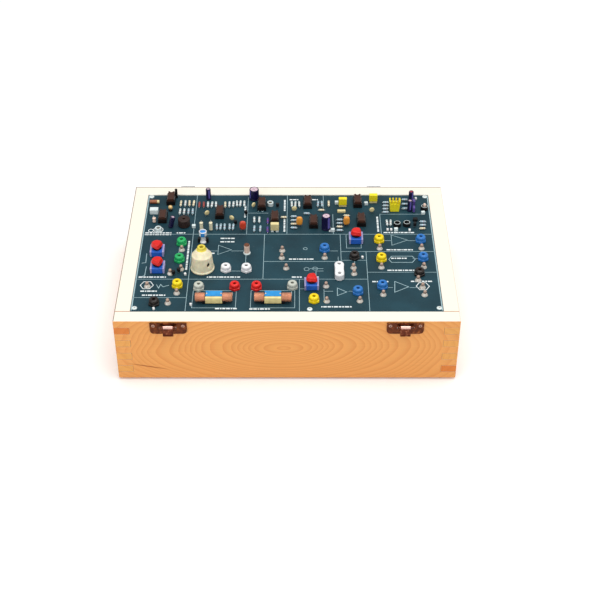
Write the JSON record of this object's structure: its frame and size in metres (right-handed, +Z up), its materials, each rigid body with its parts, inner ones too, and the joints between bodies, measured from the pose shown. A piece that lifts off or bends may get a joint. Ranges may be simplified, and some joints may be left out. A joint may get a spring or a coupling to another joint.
{
  "type": "telecommunications trainer",
  "caption": "Finger-jointed pine case with a circuit panel in its top: coloured sockets, test pins, pointed control knobs, chips, a light hood and two swinging latch levers in front.",
  "frame": {"origin": "middle of the bounding box's bottom face, on the surface that the feet stand on", "axes": "+X to the right along the case's length, +Y to the back, away from the latches, +Z up"},
  "size_m": [0.42, 0.3014, 0.1283],
  "materials": {
    "pine": "planed and oiled pine, satin",
    "batten": "sawn pine",
    "plywood": "plywood, matt",
    "rubber": "moulded rubber, matt",
    "panel_laminate": "teal solder resist on glass laminate, semi-gloss",
    "bronzed_steel": "bronzed pressed steel",
    "bronzed_lever": "bronzed pressed steel, worn bright",
    "zinc_steel": "zinc-plated steel",
    "pot_blue": "moulded plastic",
    "knob_red": "moulded plastic, satin",
    "socket_yellow": "moulded plastic, gloss",
    "socket_blue": "moulded plastic, gloss",
    "socket_red": "moulded plastic, gloss",
    "socket_grey": "moulded plastic, gloss",
    "socket_white": "moulded plastic, gloss",
    "socket_black": "moulded plastic, gloss",
    "socket_green": "moulded plastic, gloss",
    "ivory": "moulded plastic, ivory",
    "lens_white": "moulded plastic with a blue lens",
    "copper_winding": "enamelled winding on a cream bobbin",
    "can_navy": "sleeved aluminium can",
    "header_yellow": "moulded plastic",
    "sounder_brown": "moulded plastic",
    "inlet_black": "moulded plastic",
    "rocker_black": "moulded plastic, gloss",
    "core_steel": "varnished laminations",
    "board_green": "printed circuit laminate"
  },
  "bodies": {
    "case": {"front_wall": "pine", "back_wall": "pine", "left_wall": "pine", "right_wall": "pine", "panel_ledge_left": "batten", "panel_ledge_right": "batten", "base_board": "plywood", "foot_front_left": "rubber", "foot_front_right": "rubber", "foot_back_left": "rubber", "foot_back_right": "rubber", "panel_board": "panel_laminate", "latch_plate_left": "bronzed_steel", "latch_plate_right": "bronzed_steel", "hinge_leaf_left": "zinc_steel", "hinge_leaf_right": "zinc_steel", "pot_body_1": "pot_blue", "pot_body_2": "pot_blue", "pot_body_3": "pot_blue", "pot_body_4": "pot_blue", "socket_yellow_1": "socket_yellow", "socket_yellow_2": "socket_yellow", "socket_yellow_3": "socket_yellow", "socket_yellow_4": "socket_yellow", "socket_blue_1": "socket_blue", "socket_blue_2": "socket_blue", "socket_blue_3": "socket_blue", "socket_blue_4": "socket_blue", "socket_blue_5": "socket_blue", "socket_red_1": "socket_red", "socket_red_2": "socket_red", "socket_grey_1": "socket_grey", "socket_grey_2": "socket_grey", "socket_white_1": "socket_white", "socket_white_2": "socket_white", "socket_black_1": "socket_black", "socket_black_2": "socket_black", "socket_black_3": "socket_black", "socket_green_1": "socket_green", "socket_green_2": "socket_green", "socket_double": "socket_white", "light_hood": "ivory", "lens_holder": "lens_white", "line_coil_left": "copper_winding", "line_coil_right": "copper_winding", "tall_capacitor": "can_navy", "short_capacitor": "can_navy", "yellow_header": "header_yellow", "sounder": "sounder_brown", "power_inlet": "inlet_black", "switch_frame": "inlet_black", "mains_transformer": "core_steel", "supply_board": "board_green"},
    "knob_1": {"pot_knob_1": "knob_red"},
    "knob_2": {"pot_knob_2": "knob_red"},
    "knob_3": {"pot_knob_3": "knob_red"},
    "knob_4": {"pot_knob_4": "knob_red"},
    "lever_left": {"latch_lever_left": "bronzed_lever"},
    "lever_right": {"latch_lever_right": "bronzed_lever"},
    "rocker": {"switch_rocker": "rocker_black"}
  },
  "joints": [
    {"name": "knob_turn_1", "type": "hinge", "parent": "case", "child": "knob_1", "pos_m": [-0.16744, -0.00469, 0.1056], "axis": [0, 0, 1], "range_deg": [-150, 150]},
    {"name": "knob_turn_2", "type": "hinge", "parent": "case", "child": "knob_2", "pos_m": [-0.164, -0.03936, 0.1056], "axis": [0, 0, 1], "range_deg": [-150, 150]},
    {"name": "knob_turn_3", "type": "hinge", "parent": "case", "child": "knob_3", "pos_m": [0.08887, 0.02249, 0.1056], "axis": [0, 0, 1], "range_deg": [-150, 150]},
    {"name": "knob_turn_4", "type": "hinge", "parent": "case", "child": "knob_4", "pos_m": [0.03051, -0.07352, 0.1056], "axis": [0, 0, 1], "range_deg": [-150, 150]},
    {"name": "latch_swing_left", "type": "hinge", "parent": "case", "child": "lever_left", "pos_m": [-0.14322, -0.14725, 0.0888], "axis": [-1, 0, 0], "range_deg": [0, 150]},
    {"name": "latch_swing_right", "type": "hinge", "parent": "case", "child": "lever_right", "pos_m": [0.14322, -0.14725, 0.0888], "axis": [-1, 0, 0], "range_deg": [0, 150]},
    {"name": "switch_rock", "type": "hinge", "parent": "case", "child": "rocker", "pos_m": [0.0567, 0.14495, 0.04532], "axis": [1, 0, 0], "range_deg": [-16, 0]}
  ]
}
